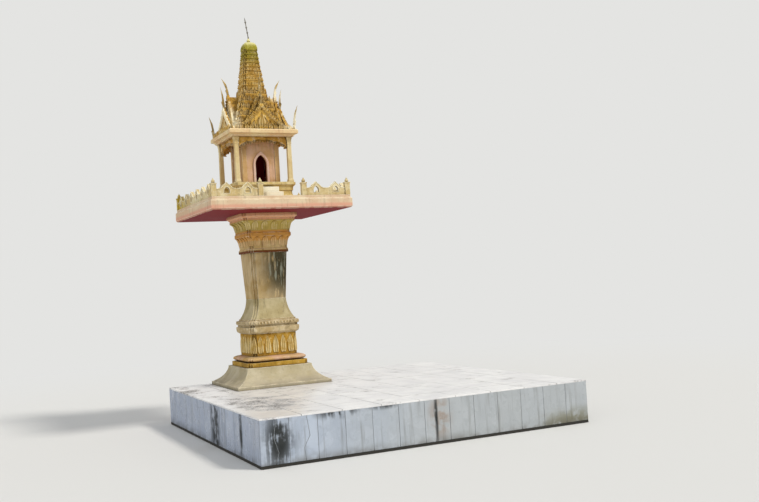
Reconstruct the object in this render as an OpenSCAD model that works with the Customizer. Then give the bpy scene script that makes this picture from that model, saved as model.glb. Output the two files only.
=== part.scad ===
// Spirit house of cast and painted concrete: a tall moulded pedestal carries a terrace,
// and on it stands a small shrine with porch columns, a cross-gabled roof and a prang spire.
// All of it stands on a square tiled plinth. Millimetres, +Z up, +Y to the back.
// The origin is the centre of the plinth's underside.

/* [Plinth] */
// Side of the square plinth
plinth_w = 2680; // [2400:10:3300]
// Height of the plinth over the ground
plinth_h = 335; // [200:5:500]
// Thickness of a glazed tile with its mortar
tile_t = 12; // [6:1:25]
// Distance from the plinth's left edge to the pedestal's axis
pedestal_from_left = 820; // [600:10:1600]
// Distance from the plinth's back edge to the pedestal's axis
pedestal_from_back = 480; // [440:10:1600]
// Joint between the top tiles and the pedestal's foot
foot_joint = 3; // [1:1:8]

/* [Pedestal] */
// Width of the flared foot on the plinth
foot_w = 860; // [720:10:1040]
// Width of the foot's top edge
foot_top_w = 600; // [565:5:700]
// Height of the foot
foot_h = 170; // [120:5:240]
// Width of the gold band on the foot
band_w = 556; // [470:2:600]
// Height of the gold band
band_h = 40; // [25:1:70]
// Height of the half-round roll
roll_h = 52; // [30:1:80]
// How far the roll swells past the drum
roll_swell = 58; // [30:1:80]
// Width of the carved drum
drum_w = 416; // [340:2:500]
// Height of the carved drum
drum_h = 198; // [150:2:260]
// How far the upper moulding stands past the drum
cornice_swell = 27; // [15:1:50]
// Height of the upper moulding
cornice_h = 130; // [100:2:180]
// Height of the sloped neck
neck_h = 180; // [120:2:240]
// Width of the shaft where it is narrowest
shaft_low_w = 304; // [240:2:340]
// Width of the shaft under the capital
shaft_top_w = 350; // [300:2:400]
// Height of the shaft
shaft_h = 415; // [300:5:560]
// Width of the capital under the terrace
capital_w = 526; // [480:2:640]
// Height of the capital
capital_h = 351; // [280:1:460]
// Size of one corner step in the pedestal's plan
pedestal_step = 17; // [8:1:24]

/* [Terrace] */
// Side of the square terrace slab
terrace_w = 1280; // [1060:10:1560]
// Thickness of the terrace slab
terrace_h = 114; // [80:1:150]
// Bevel along the slab's lower and upper edge
terrace_bevel = 12; // [6:1:20]

/* [Balustrade] */
// Height of the pierced panels at their peaks
rail_h = 118; // [90:1:160]
// Thickness of a panel
rail_t = 26; // [18:1:34]
// Gap from the slab's edge to the posts
rail_inset = 12; // [4:1:40]
// Aimed spacing of the arches along a panel
arch_pitch = 190; // [150:5:240]
// Side of a square post
post_w = 44; // [36:1:60]
// Height of a post under its bud
post_h = 112; // [90:1:150]
// Height of the bud on a post
post_bud_h = 46; // [30:1:70]
// Clear width between the two gate posts
gate_w = 350; // [240:5:440]

/* [House base] */
// How far the house stands behind the middle of the terrace
house_setback = 100; // [0:5:160]
// Width of the moulded base under the columns
base_w = 580; // [520:2:700]
// Height of the base
base_h = 170; // [120:2:240]
// Size of one corner step in the base's plan
base_step = 12; // [6:1:16]
// Width of the entrance steps
steps_w = 160; // [120:2:220]
// Going of one entrance step
step_going = 114; // [60:2:130]

/* [Chamber and porch] */
// Outer width of the chamber across its corner pilasters
chamber_w = 354; // [300:2:400]
// Side of a corner pilaster
pilaster_w = 44; // [36:1:54]
// Thickness of a chamber wall
wall_t = 22; // [15:1:30]
// How far a wall's face lies behind the pilasters
wall_setback = 7; // [3:1:12]
// Height from the base to the underside of the eave
wall_h = 415; // [340:5:520]
// Clear width of the doorway
door_w = 108; // [80:2:130]
// Height of the doorway to its pointed top
door_h = 262; // [200:2:310]
// Breadth of the raised frame round the doorway
door_frame_w = 20; // [12:1:26]
// How far the door frame stands out from the wall
door_frame_t = 12; // [6:1:16]
// Side of a porch column's shaft
column_w = 40; // [32:1:48]
// Side of a porch column's foot and head
column_foot_w = 50; // [50:1:56]
// Gap from a column's foot to the base's outer step
column_inset = 4; // [0:1:10]
// Depth of the pierced fringe between the columns
fringe_h = 96; // [60:1:130]
// Thickness of the fringe
fringe_t = 16; // [10:1:24]

/* [Eave and roof] */
// How far the eave slab stands past the house base
eave_over = 32; // [10:1:60]
// Thickness of the eave slab
eave_h = 64; // [45:1:90]
// Height of a lower gable over the eave
lower_rise = 232; // [190:2:280]
// Width of a lower gable at the eave
lower_span = 500; // [420:2:540]
// Height of an upper gable over the eave
upper_rise = 352; // [330:2:420]
// Width of an upper gable at the eave
upper_span = 392; // [340:2:410]
// Height over the eave where an upper gable's feet end
upper_foot_h = 62; // [56:1:80]
// Distance from the house axis to an upper gable's back
upper_reach = 214; // [190:2:240]
// Gap between an upper gable's face and the lower gable in front of it
gable_gap = 20; // [4:1:36]
// Thickness of a toothed bargeboard
barge_t = 24; // [16:1:32]
// Breadth of a bargeboard without its teeth
barge_w = 20; // [14:1:28]
// Thickness of the panel inside a bargeboard
tympanum_t = 14; // [8:1:16]
// Height of a lower gable's horn finial
lower_horn_h = 205; // [140:5:240]
// Height of an upper gable's horn finial
upper_horn_h = 168; // [120:4:210]
// Thickness of a horn finial
horn_t = 13; // [8:1:18]
// Height of the horns on the eave's corners
corner_horn_h = 210; // [60:2:260]

/* [Spire] */
// Width of the lowest square tier on the roof
tier_w = 440; // [410:2:470]
// Width of the topmost tier, which carries the spire
tier_top_w = 244; // [220:2:270]
// Number of tiers in the stack
tier_count = 5; // [3:1:6]
// How far the topmost tier stands over the upper ridges
tier_clear = 16; // [8:1:40]
// Width of a leaf antefix on the tiers
tier_leaf_w = 36; // [26:1:44]
// Width of the prang's shaft at its foot
prang_foot_w = 176; // [150:2:186]
// Width of the prang's shaft under the cap
prang_top_w = 136; // [110:2:148]
// Height of the curved skirt from the tiers to the shaft
skirt_h = 190; // [150:2:240]
// Number of small steps in the skirt
skirt_count = 4; // [3:1:6]
// Height of the prang's shaft
prang_h = 236; // [200:2:360]
// Number of bands in the prang's shaft
prang_count = 6; // [4:1:8]
// Width of a leaf antefix on the skirt and the prang
prang_leaf_w = 24; // [18:1:28]
// Thickness of a leaf antefix on the skirt and the prang
prang_leaf_t = 4; // [3:0.5:6]
// Height of the rounded cap
cap_h = 74; // [50:2:100]
// Height of the lotus bud on the cap
bud_h = 40; // [30:2:70]
// Height of the metal finial over the bud
finial_h = 196; // [100:2:240]
// How far the finial leans to the left, in degrees
finial_lean = 8; // [0:1:12]
// Diameter of the finial's rod
finial_d = 9; // [6:1:14]
// Size of one corner step in the spire's plan
spire_step = 11; // [5:1:14]

/* [Hidden] */
$fn = 48;

// A roof arm lies this far inside its gable's slope at the eave, and this far under the apex
arm_in = 6;
arm_under = 8;

// Heights over the plinth's top, piece on piece
band_z = foot_h;
roll_z = band_z + band_h;
drum_z = roll_z + roll_h;
cornice_z = drum_z + drum_h;
neck_z = cornice_z + cornice_h;
shaft_z = neck_z + neck_h;
capital_z = shaft_z + shaft_h;
terrace_z = capital_z + capital_h;
base_z = terrace_z + terrace_h;
floor_z = base_z + base_h;
eave_z = floor_z + wall_h;
roof_z = eave_z + eave_h;
tiers_h = upper_rise - arm_under + tier_clear;
skirt_z = roof_z + tiers_h;
prang_z = skirt_z + skirt_h;
cap_z = prang_z + prang_h;
bud_z = cap_z + cap_h;
finial_z = bud_z + bud_h;

// Pedestal axis from the plinth's centre, and the house axis behind it
pedestal_x = pedestal_from_left - plinth_w / 2;
pedestal_y = plinth_w / 2 - pedestal_from_back;
house_y = pedestal_y + house_setback;

// Places in plan, from the pedestal's or the house's axis
post_line = terrace_w / 2 - rail_inset - post_w / 2;
gate_line = gate_w / 2 + post_w / 2;
column_line = base_w / 2 - base_step - column_inset - column_foot_w / 2;
pilaster_line = chamber_w / 2 - pilaster_w / 2;
wall_face = chamber_w / 2 - wall_setback;
eave_w = base_w + 2 * eave_over;
lower_reach = upper_reach + barge_t + gable_gap;

// Ledges of the tiers and the leaves that stand on them. A leaf takes this share of its ledge,
// and leaves stand this far apart.
leaf_share = 0.42;
leaf_gap = 2;
tier_rise = tiers_h / tier_count;
tier_ledge = (tier_w - tier_top_w) / 2 / (tier_count - 1);
tier_leaf_t = tier_ledge * leaf_share;

// Colours by eye from the weathered paint
cream = "#e6d3a6";
pink_cream = "#dcbfa0";
ochre = "#b98a3a";
gold = "#c79a3c";
maroon = "#7d2f35";
tile_blue = "#c3c9d2";
masonry = "#a9a49b";
metal = "#a8894e";

// A point turned about the origin
function turned(p, angle) = [p[0] * cos(angle) - p[1] * sin(angle), p[0] * sin(angle) + p[1] * cos(angle)];

// A bending line from a to b, pulled towards c
function curve(a, c, b, steps) = [for (i = [0:steps]) let (t = i / steps)
    (1 - t) * (1 - t) * a + 2 * t * (1 - t) * c + t * t * b];

// An outline that is the same on both sides of the upright axis, from its right half, which
// ends on the axis
function symmetric(right) = concat(right, [for (i = [len(right) - 2:-1:0]) [-right[i][0], right[i][1]]]);

// A square plan, and one whose corners step in twice
function square_plan(half) = [for (turn = [0:3]) turned([half, half], turn * 90)];
function stepped_plan(half, step) = [for (turn = [0:3])
    each [for (p = [[half, half - 2 * step], [half - step, half - 2 * step], [half - step, half - step],
        [half - 2 * step, half - step], [half - 2 * step, half]]) turned(p, turn * 90)]];
function plan(half, step) = step == 0 ? square_plan(half) : stepped_plan(half, step);

// A moulding that runs round the plan: profile holds [half width, height] from the bottom up.
// Each end is closed by a fan of triangles about a point on the axis.
module moulding(profile, step = 0) {
    sides = len(plan(100, step));
    last = len(profile) - 1;
    rings = [for (p = profile) each [for (q = plan(p[0], step)) [q[0], q[1], p[1]]]];
    low_centre = len(rings);
    high_centre = low_centre + 1;
    around = [for (level = [0:last - 1]) each [for (i = [0:sides - 1])
        let (low = level * sides, next = (i + 1) % sides)
        [low + i, low + sides + i, low + sides + next, low + next]]];
    bottom = [for (i = [0:sides - 1]) [i, (i + 1) % sides, low_centre]];
    top = [for (i = [0:sides - 1]) [last * sides + (i + 1) % sides, last * sides + i, high_centre]];
    polyhedron(points = concat(rings, [[0, 0, profile[0][1]], [0, 0, profile[last][1]]]),
        faces = concat(bottom, around, top));
}

module on_pedestal(z) {
    translate([pedestal_x, pedestal_y, plinth_h + z]) children();
}

module on_house(z) {
    translate([pedestal_x, house_y, plinth_h + z]) children();
}

// Plinth
module plinth_core() {
    color(masonry)
        translate([tile_t - plinth_w / 2, tile_t - plinth_w / 2, 0])
            cube([plinth_w - 2 * tile_t, plinth_w - 2 * tile_t, plinth_h - tile_t]);
}

module plinth_side_tiles() {
    color(tile_blue)
        linear_extrude(plinth_h - tile_t)
            difference() {
                square(plinth_w, center = true);
                square(plinth_w - 2 * tile_t, center = true);
            }
}

module plinth_top_tiles() {
    color(tile_blue)
        translate([0, 0, plinth_h - tile_t])
            linear_extrude(tile_t)
                difference() {
                    square(plinth_w, center = true);
                    translate([pedestal_x, pedestal_y])
                        square(foot_w + 2 * foot_joint, center = true);
                }
}

// Pedestal, from the foot up. The foot is bedded on the core, and the top tiles are laid round it.
module pedestal_foot() {
    toe = 28;
    lip = 16;
    color(cream)
        on_pedestal(0)
            moulding(concat(
                [[foot_w / 2, -tile_t], [foot_w / 2, toe]],
                curve([foot_w / 2 - 10, toe], [foot_top_w / 2 + 22, foot_h * 0.42],
                    [foot_top_w / 2, foot_h - lip], 6),
                [[foot_top_w / 2, foot_h]]));
}

module pedestal_gold_band() {
    color(gold)
        on_pedestal(band_z)
            linear_extrude(band_h)
                polygon(plan(band_w / 2, pedestal_step));
}

module pedestal_roll() {
    inner = drum_w / 2 + 4;
    color(pink_cream)
        on_pedestal(roll_z)
            moulding([for (i = [0:8]) let (angle = -90 + i * 22.5)
                [inner + roll_swell * cos(angle), roll_h / 2 * (1 + sin(angle))]], pedestal_step);
}

module pedestal_drum() {
    color(gold)
        on_pedestal(drum_z)
            linear_extrude(drum_h)
                polygon(plan(drum_w / 2, pedestal_step));
}

module pedestal_cornice() {
    inner = drum_w / 2;
    outer = inner + cornice_swell;
    color(cream)
        on_pedestal(cornice_z)
            moulding(concat(
                [[inner + 6, 0]],
                curve([inner + 6, 4], [outer, 6], [outer, cornice_h * 0.3], 4),
                [[outer, cornice_h * 0.46], [outer - 12, cornice_h * 0.46], [outer - 12, cornice_h * 0.62],
                    [outer - 2, cornice_h * 0.62], [outer - 2, cornice_h * 0.86],
                    [inner + 4, cornice_h * 0.9], [inner + 4, cornice_h]]), pedestal_step);
}

module pedestal_neck() {
    low = drum_w / 2 - 3;
    color(cream)
        on_pedestal(neck_z)
            moulding(curve([low, 0], [shaft_low_w / 2 + 4, neck_h * 0.45], [shaft_low_w / 2, neck_h], 6),
                pedestal_step);
}

module pedestal_shaft() {
    color(cream)
        on_pedestal(shaft_z)
            moulding([[shaft_low_w / 2, 0], [shaft_top_w / 2, shaft_h]], pedestal_step);
}

module pedestal_capital() {
    low = shaft_top_w / 2;
    flare = capital_w / 2 - low;
    color(ochre)
        on_pedestal(capital_z)
            moulding(concat(
                [[low + flare * 0.14, 0], [low + flare * 0.14, capital_h * 0.09],
                    [low + flare * 0.06, capital_h * 0.11], [low + flare * 0.06, capital_h * 0.16]],
                curve([low + flare * 0.06, capital_h * 0.16], [low + flare * 0.12, capital_h * 0.36],
                    [low + flare * 0.42, capital_h * 0.42], 5),
                [[low + flare * 0.42, capital_h * 0.5], [low + flare * 0.34, capital_h * 0.52],
                    [low + flare * 0.34, capital_h * 0.58]],
                curve([low + flare * 0.34, capital_h * 0.58], [low + flare * 0.42, capital_h * 0.76],
                    [low + flare * 0.78, capital_h * 0.8], 5),
                [[low + flare * 0.78, capital_h * 0.88], [low + flare, capital_h * 0.92],
                    [low + flare, capital_h]]), pedestal_step);
}

// Terrace and its balustrade
module terrace_slab() {
    half = terrace_w / 2;
    color(pink_cream)
        on_pedestal(terrace_z)
            moulding([[half - terrace_bevel, 0], [half, terrace_bevel], [half, terrace_h * 0.72],
                [half - terrace_bevel, terrace_h * 0.8], [half - terrace_bevel, terrace_h]]);
}

// One panel: pointed arches side by side, each pierced by a pointed hole
module balustrade_panel(length) {
    count = max(1, round(length / arch_pitch));
    pitch = length / count;
    dip = rail_h * 0.52;
    half_arch = concat(curve([-pitch / 2, dip], [-pitch * 0.24, dip], [-pitch * 0.18, rail_h * 0.74], 3),
        curve([-pitch * 0.15, rail_h * 0.8], [-pitch * 0.06, rail_h * 0.84], [0, rail_h], 3));
    arch = concat(half_arch, [for (i = [len(half_arch) - 2:-1:1]) [-half_arch[i][0], half_arch[i][1]]]);
    top = [for (k = [0:count - 1]) each [for (p = arch) [(k + 0.5 - count / 2) * pitch + p[0], p[1]]]];
    hole_w = pitch * 0.3;
    hole = concat([[hole_w / 2, rail_h * 0.2]],
        curve([hole_w / 2, rail_h * 0.42], [hole_w * 0.4, rail_h * 0.62], [0, rail_h * 0.7], 4));
    rotate([90, 0, 0])
        linear_extrude(rail_t, center = true)
            difference() {
                polygon(concat([[-length / 2, 0]], top, [[length / 2, dip], [length / 2, 0]]));
                for (k = [0:count - 1])
                    translate([(k + 0.5 - count / 2) * pitch, 0])
                        polygon(symmetric(hole));
            }
}

module side_balustrade(angle) {
    color(cream)
        on_pedestal(base_z)
            rotate(angle)
                translate([0, -post_line, 0])
                    balustrade_panel(2 * post_line - post_w);
}

module balustrade_left() {
    side_balustrade(-90);
}

module balustrade_right() {
    side_balustrade(90);
}

module balustrade_back() {
    side_balustrade(180);
}

module front_balustrade(side) {
    inner = gate_line + post_w / 2;
    outer = post_line - post_w / 2;
    color(cream)
        on_pedestal(base_z)
            translate([side * (inner + outer) / 2, -post_line, 0])
                balustrade_panel(outer - inner);
}

module balustrade_front_left() {
    front_balustrade(-1);
}

module balustrade_front_right() {
    front_balustrade(1);
}

// A square post with a plain cap and a turned bud
module post() {
    cap_t = 10;
    translate([-post_w / 2, -post_w / 2, 0])
        cube([post_w, post_w, post_h - cap_t]);
    translate([-post_w / 2 - 4, -post_w / 2 - 4, post_h - cap_t])
        cube([post_w + 8, post_w + 8, cap_t]);
    translate([0, 0, post_h])
        rotate_extrude()
            polygon(concat([[0, 0]],
                curve([post_w * 0.26, 0], [post_w * 0.52, post_bud_h * 0.3],
                    [post_w * 0.2, post_bud_h * 0.62], 4),
                [[0, post_bud_h]]));
}

module balustrade_posts() {
    color(cream)
        on_pedestal(base_z)
            for (x = [-post_line, post_line], y = [-post_line, post_line])
                translate([x, y, 0])
                    post();
}

module gate_posts() {
    color(cream)
        on_pedestal(base_z)
            for (x = [-gate_line, gate_line])
                translate([x, -post_line, 0])
                    post();
}

module entrance_steps() {
    rise = base_h / 3;
    color(cream)
        on_house(base_z)
            for (i = [1:2])
                translate([-steps_w / 2, -base_w / 2 - step_going * (3 - i), 0])
                    cube([steps_w, step_going * (3 - i), rise * i]);
}

// House base, chamber and porch
module house_base() {
    half = base_w / 2;
    color(cream)
        on_house(base_z)
            moulding(concat(
                [[half, 0], [half, base_h * 0.16], [half - 8, base_h * 0.18]],
                curve([half - 8, base_h * 0.22], [half - 26, base_h * 0.3], [half - 27, base_h * 0.44], 4),
                [[half - 27, base_h * 0.54], [half - 20, base_h * 0.56], [half - 20, base_h * 0.62]],
                curve([half - 20, base_h * 0.66], [half - 18, base_h * 0.8], [half - 6, base_h * 0.82], 4),
                [[half, base_h * 0.86], [half, base_h]]), base_step);
}

module chamber_pilasters() {
    color(cream)
        on_house(floor_z)
            for (x = [-pilaster_line, pilaster_line], y = [-pilaster_line, pilaster_line])
                translate([x - pilaster_w / 2, y - pilaster_w / 2, 0])
                    cube([pilaster_w, pilaster_w, wall_h]);
}

// One wall between two pilasters, its outer face at the wall line
module chamber_wall(angle, open = false) {
    length = chamber_w - 2 * pilaster_w;
    color(pink_cream)
        on_house(floor_z)
            rotate(angle)
                translate([0, -wall_face + wall_t, 0])
                    rotate([90, 0, 0])
                        linear_extrude(wall_t)
                            difference() {
                                translate([-length / 2, 0])
                                    square([length, wall_h]);
                                if (open)
                                    doorway();
                            }
}

// The opening is straight to two thirds of its height, then closes in a pointed arch.
// With a margin, the same outline grows outwards for the frame round it.
module doorway(margin = 0, sill = 1) {
    half = door_w / 2 + margin;
    spring = door_h * 0.7;
    side = curve([half, spring], [half * 0.92, door_h * 0.88 + margin * 0.7],
        [0, door_h + margin * 1.5], 6);
    polygon(symmetric(concat([[half, -sill]], side)));
}

// Raised frame on the front wall, round the doorway
module door_frame() {
    color(ochre)
        on_house(floor_z)
            translate([0, -wall_face, 0])
                rotate([90, 0, 0])
                    linear_extrude(door_frame_t)
                        difference() {
                            doorway(door_frame_w, 0);
                            doorway();
                        }
}

module front_wall() {
    chamber_wall(0, open = true);
}

module back_wall() {
    chamber_wall(180);
}

module left_wall() {
    chamber_wall(-90);
}

module right_wall() {
    chamber_wall(90);
}

module porch_columns() {
    shaft = column_w / 2;
    foot = column_foot_w / 2;
    color(cream)
        on_house(floor_z)
            for (x = [-column_line, column_line], y = [-column_line, column_line])
                translate([x, y, 0])
                    moulding(concat(
                        [[foot, 0], [foot, 18], [shaft + 2, 22], [shaft + 2, 30], [shaft, 32],
                            [shaft - 2, wall_h - 66], [shaft + 1, wall_h - 64], [shaft + 1, wall_h - 56]],
                        curve([shaft - 1, wall_h - 52], [shaft, wall_h - 26], [foot, wall_h - 14], 4),
                        [[foot, wall_h]]));
}

// Fringe that hangs under the eave between two columns, its edge in three rising cusps
module porch_fringe(angle) {
    half = column_line - column_foot_w / 2;
    edge = concat(
        curve([half, -fringe_h], [half - 18, -fringe_h * 0.62], [half * 0.82, -fringe_h * 0.66], 3),
        curve([half * 0.76, -fringe_h * 0.54], [half * 0.58, -fringe_h * 0.36],
            [half * 0.46, -fringe_h * 0.5], 4),
        curve([half * 0.4, -fringe_h * 0.36], [half * 0.16, -fringe_h * 0.2], [0, -fringe_h * 0.3], 4));
    color(ochre)
        on_house(eave_z)
            rotate(angle)
                translate([0, fringe_t / 2 - column_line, 0])
                    rotate([90, 0, 0])
                        linear_extrude(fringe_t)
                            polygon(symmetric(concat([[half, 0]], edge)));
}

module front_fringe() {
    porch_fringe(0);
}

module back_fringe() {
    porch_fringe(180);
}

module left_fringe() {
    porch_fringe(-90);
}

module right_fringe() {
    porch_fringe(90);
}

// Eave and roof
module eave_slab() {
    half = eave_w / 2;
    color(cream)
        on_house(eave_z)
            moulding(concat(
                [[half - 34, 0], [half - 34, eave_h * 0.12]],
                curve([half - 30, eave_h * 0.14], [half - 26, eave_h * 0.36], [half, eave_h * 0.4], 4),
                [[half, eave_h * 0.84], [half - 8, eave_h]]));
}

// A horn in the plane of its ridge: it leaves the apex, swells into a beak and sweeps to a point
module horn(height, lean) {
    outer = concat([[9, -12], [11, height * 0.1]],
        curve([11, height * 0.1], [16, height * 0.2], [22, height * 0.3], 2),
        curve([14, height * 0.36], [lean * 0.5, height * 0.62], [lean, height], 5));
    inner = curve([lean * 0.3 - 4, height * 0.66], [-10, height * 0.3], [-11, -12], 5);
    rotate([90, 0, 0])
        linear_extrude(horn_t, center = true)
            polygon(concat(outer, inner));
}

module eave_corner_horns() {
    color(gold)
        on_house(roof_z)
            for (turn = [0:3])
                rotate(45 + turn * 90)
                    translate([(eave_w / 2 - 26) * sqrt(2), 0, 12])
                        horn(corner_horn_h, 45);
}

// A gable's slope from the eave to the apex, sagging a little
sag_x = 0.44;
sag_z = 0.36;
function slope(half, rise, steps) = curve([half, 0], [half * sag_x, rise * sag_z], [0, rise], steps);

// Half the width of a gable's slope at height z, from the same curve
function slope_half(half, rise, z) = z >= rise ? 0 : let (
    t = (sqrt(sag_z * sag_z + (1 - 2 * sag_z) * z / rise) - sag_z) / (1 - 2 * sag_z))
    half * ((1 - t) * (1 - t) + 2 * sag_x * t * (1 - t));

// The slope's upper edge with a row of teeth that point towards the apex
function toothed(half, rise, teeth) = let (line = slope(half, rise, 2 * teeth))
    [for (i = [0:2 * teeth]) i % 2 == 0 || i == 2 * teeth ? line[i] : let (run = line[i + 1] - line[i],
        size = norm(run)) line[i + 1] + [run[1], -run[0]] / size * 15];

module gable_panel(half, rise, teeth) {
    inside = slope(half - barge_w * 1.6, rise - barge_w * 1.8, 8);
    edge = toothed(half, rise, teeth);
    rotate([90, 0, 0]) {
        linear_extrude(tympanum_t)
            polygon(symmetric(inside));
        linear_extrude(barge_t)
            difference() {
                polygon(symmetric(edge));
                polygon(symmetric(concat([[half - barge_w * 1.6, -1]], inside)));
            }
    }
}

// The roof arm behind a gable, as an outline to extrude along the ridge
module roof_outline(span, rise) {
    polygon(symmetric(slope(span / 2 - arm_in, rise - arm_under, 8)));
}

module roof_arms(span, rise, reach) {
    for (angle = [0, 90])
        rotate(angle)
            rotate([90, 0, 0])
                linear_extrude(2 * reach, center = true)
                    roof_outline(span, rise);
}

// Square tiers narrow upwards in equal steps and leave a ledge each
function tier_half(i) = tier_w / 2 - tier_ledge * i;

module tiers() {
    for (i = [0:tier_count - 1])
        translate([0, 0, tier_rise * i])
            linear_extrude(tier_rise)
                polygon(plan(tier_half(i), spire_step));
}

// A leaf-shaped antefix: it stands on z = 0 with its back at y = 0, and faces -Y
module leaf(width, height, thickness) {
    belly = concat([[width * 0.36, 0]],
        curve([width * 0.4, height * 0.12], [width * 0.6, height * 0.34], [width * 0.3, height * 0.58], 3),
        [[width * 0.13, height * 0.76], [0, height]]);
    rotate([90, 0, 0])
        linear_extrude(thickness)
            polygon(symmetric(belly));
}

// Places along one side of a ledge, from its middle to end: an even row where the side is free,
// or else rows from both ends up to the part that a roof covers
function leaf_places(end, covered, pitch) = covered == 0
    ? let (count = floor(2 * end / pitch)) [for (k = [0:count - 1]) (k + 0.5 - count / 2) * 2 * end / count]
    : [for (x = [end - pitch / 2:-pitch:covered + pitch / 2]) each [x, -x]];

// Leaves round one ledge, and one across each stepped corner
module leaf_ring(half, covered, width, height, thickness) {
    corner = (half - spire_step) * sqrt(2) - leaf_gap - thickness;
    for (side = [0:3])
        rotate(side * 90) {
            for (x = leaf_places(half - 2 * spire_step - 2 * leaf_gap, covered, width + leaf_gap))
                translate([x, thickness + leaf_gap / 2 - half, 0])
                    leaf(width, height, thickness);
            rotate(45)
                translate([0, -corner, 0])
                    leaf(width * 0.62, height, thickness);
        }
}

module tiered_roof() {
    color(ochre)
        on_house(roof_z) {
            roof_arms(lower_span, lower_rise, lower_reach);
            roof_arms(upper_span, upper_rise, upper_reach);
            tiers();
        }
}

// Leaves on the ledges: the roofs cover the middle of a ledge that lies under their slopes
module tier_antefixes() {
    color(gold)
        on_house(roof_z)
            for (i = [0:tier_count - 1])
                let (z = tier_rise * (i + 1))
                    translate([0, 0, z])
                        leaf_ring(tier_half(i),
                            max(slope_half(lower_span / 2 - arm_in, lower_rise - arm_under, z),
                                slope_half(upper_span / 2 - arm_in, upper_rise - arm_under, z)),
                            tier_leaf_w, tier_rise * 0.72, tier_leaf_t);
}

module lower_gable(angle) {
    color(gold)
        on_house(roof_z)
            rotate(angle)
                translate([0, -lower_reach, 0])
                    gable_panel(lower_span / 2, lower_rise, 7);
}

// An upper gable stands on the lower roof, so the lower roof's form is cut out of it,
// and so is all below its feet
module upper_gable(angle) {
    color(gold)
        on_house(roof_z)
            rotate(angle)
                difference() {
                    translate([0, -upper_reach, 0])
                        gable_panel(upper_span / 2, upper_rise, 7);
                    roof_arms(lower_span, lower_rise, lower_reach);
                    tiers();
                    linear_extrude(upper_foot_h)
                        square(2 * upper_span, center = true);
                }
}

// A horn sits astride the apex of its gable, so the gable's form is cut out of its foot
module gable_horn(reach, span, rise, height, lean) {
    difference() {
        translate([0, -reach - barge_t / 2, rise])
            rotate(-90)
                horn(height, lean);
        translate([0, -reach, 0])
            gable_panel(span / 2, rise, 7);
    }
}

module gable_horns() {
    color(gold)
        on_house(roof_z)
            for (side = [0:3])
                rotate(side * 90) {
                    gable_horn(lower_reach, lower_span, lower_rise, lower_horn_h, 26);
                    gable_horn(upper_reach, upper_span, upper_rise, upper_horn_h, 58);
                }
}

module front_lower_gable() {
    lower_gable(0);
}

module back_lower_gable() {
    lower_gable(180);
}

module left_lower_gable() {
    lower_gable(-90);
}

module right_lower_gable() {
    lower_gable(90);
}

module front_upper_gable() {
    upper_gable(0);
}

module back_upper_gable() {
    upper_gable(180);
}

module left_upper_gable() {
    upper_gable(-90);
}

module right_upper_gable() {
    upper_gable(90);
}

// Spire. The skirt starts behind the leaves of the topmost tier and narrows in small steps to
// the shaft, which narrows by even steps to the cap.
prang_ledge = prang_leaf_t + leaf_gap;
prang_band = prang_h / prang_count;
skirt_foot = tier_half(tier_count - 1) - tier_leaf_t - leaf_gap;
skirt_line = curve([skirt_foot, 0], [(skirt_foot + prang_foot_w / 2) / 2 + 4, skirt_h * 0.42],
    [prang_foot_w / 2, skirt_h], skirt_count);
function prang_half(i) = (prang_foot_w + (prang_top_w - prang_foot_w) * i / (prang_count - 1)) / 2;

// One band from low to high: its wall stands behind the leaves of the band under it, and
// flares to a lip, which carries the next leaves
function band(half, low, high, lip = 7) = [[half - prang_ledge, low], [half - prang_ledge, high - 2 * lip],
    [half, high - lip], [half, high]];

module spire_skirt() {
    color(ochre)
        on_house(skirt_z)
            moulding([for (i = [0:skirt_count - 1]) each
                band(skirt_line[i][0], skirt_line[i][1], skirt_line[i + 1][1])], spire_step);
}

module prang_shaft() {
    color(ochre)
        on_house(prang_z)
            moulding([for (i = [0:prang_count - 1]) each
                band(prang_half(i), prang_band * i, prang_band * (i + 1))], spire_step);
}

module prang_antefixes() {
    color(gold) {
        on_house(skirt_z)
            for (i = [0:skirt_count - 1])
                translate([0, 0, skirt_line[i + 1][1]])
                    leaf_ring(skirt_line[i][0], 0, prang_leaf_w, skirt_h / skirt_count * 0.6, prang_leaf_t);
        on_house(prang_z)
            for (i = [1:prang_count - 1])
                translate([0, 0, prang_band * i])
                    leaf_ring(prang_half(i - 1), 0, prang_leaf_w, prang_band * 0.6, prang_leaf_t);
    }
}

// The cap's shoulder is fuller than a round one, and its top is cut flat for the bud
module prang_cap() {
    half = prang_top_w / 2 - 2;
    flat = 0.26;
    color(gold)
        on_house(cap_z)
            moulding([for (i = [0:7]) let (angle = 90 * i / 7)
                [half * (flat + (1 - flat) * pow(cos(angle), 0.7)), cap_h * sin(angle)]], spire_step / 2);
}

module lotus_bud() {
    color(cream)
        on_house(bud_z)
            rotate_extrude()
                polygon(concat([[0, 0], [14, 0], [14, 5]],
                    curve([10, 8], [26, bud_h * 0.4], [8, bud_h * 0.8], 6),
                    [[5, bud_h], [0, bud_h]]));
}

// A thin rod with three turned beads, coming to a point. It stands in an upright socket and
// is bent over to the left.
module metal_finial() {
    rod = finial_d / 2;
    socket_h = 14;
    bead_z = [for (i = [1:3]) finial_h * i / 4];
    color(metal)
        on_house(finial_z) {
            cylinder(d = finial_d + 4, h = socket_h);
            translate([0, 0, socket_h / 2])
                rotate([0, -finial_lean, 0]) {
                    cylinder(d = finial_d, h = finial_h * 0.86);
                    translate([0, 0, finial_h * 0.86])
                        rotate_extrude()
                            polygon([[0, 0], [rod, 0], [0, finial_h * 0.14]]);
                    for (z = bead_z)
                        translate([0, 0, z])
                            rotate_extrude()
                                polygon([[0, -8], [rod, -8], [rod + 5, 0], [rod, 8], [0, 8]]);
                }
        }
}

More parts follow.
